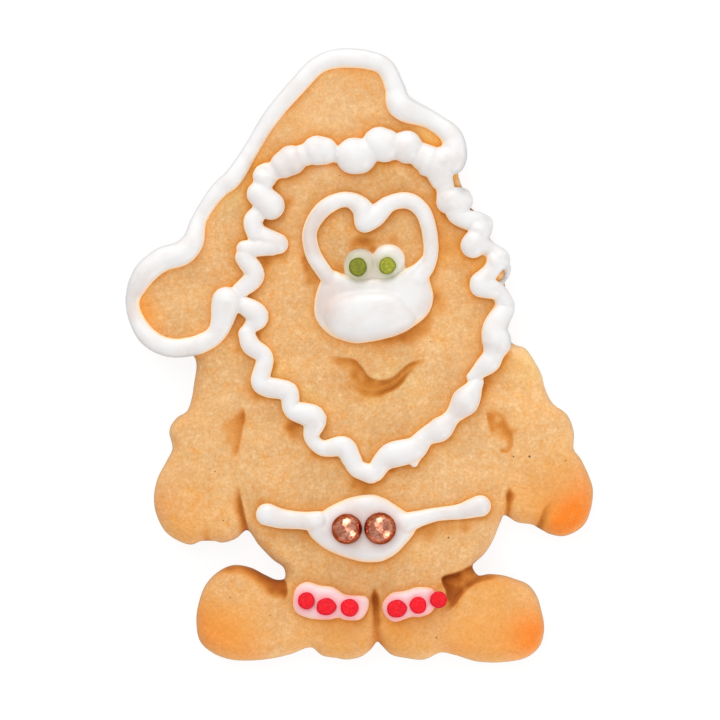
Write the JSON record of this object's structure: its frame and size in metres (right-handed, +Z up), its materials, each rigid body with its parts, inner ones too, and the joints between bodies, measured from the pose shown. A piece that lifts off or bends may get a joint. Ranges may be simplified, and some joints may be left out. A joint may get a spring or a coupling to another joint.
{
  "type": "santa cookie",
  "caption": "Flat baked biscuit shaped as a Father Christmas with a drooping hat, open arms and feet, piped with white icing and set with copper sugar pearls and round confetti.",
  "frame": {"origin": "on the table, under the middle of the figure's outline", "axes": "+Z up out of the iced face, +Y towards the tip of the hat, +X to the right as the iced face is seen"},
  "size_m": [0.093, 0.1226, 0.0132],
  "materials": {
    "crust": "matt, sandy, golden brown",
    "icing": "satin white",
    "copper": "crumpled copper lustre",
    "green_confetti": "matt",
    "red_confetti": "matt"
  },
  "bodies": {
    "root": {"biscuit": "crust", "hat_edge_icing": "icing", "brim_icing": "icing", "beard_icing": "icing", "face_ring_icing": "icing", "eye_white_icing": "icing", "moustache_icing": "icing", "belt_icing": "icing", "cuff_left_icing": "icing", "cuff_right_icing": "icing", "pearl_left": "copper", "pearl_right": "copper", "eye_dot_left": "green_confetti", "eye_dot_right": "green_confetti", "cuff_dot_1": "red_confetti", "cuff_dot_2": "red_confetti", "cuff_dot_3": "red_confetti", "cuff_dot_4": "red_confetti", "cuff_dot_5": "red_confetti", "cuff_dot_6": "red_confetti"}
  },
  "joints": []
}
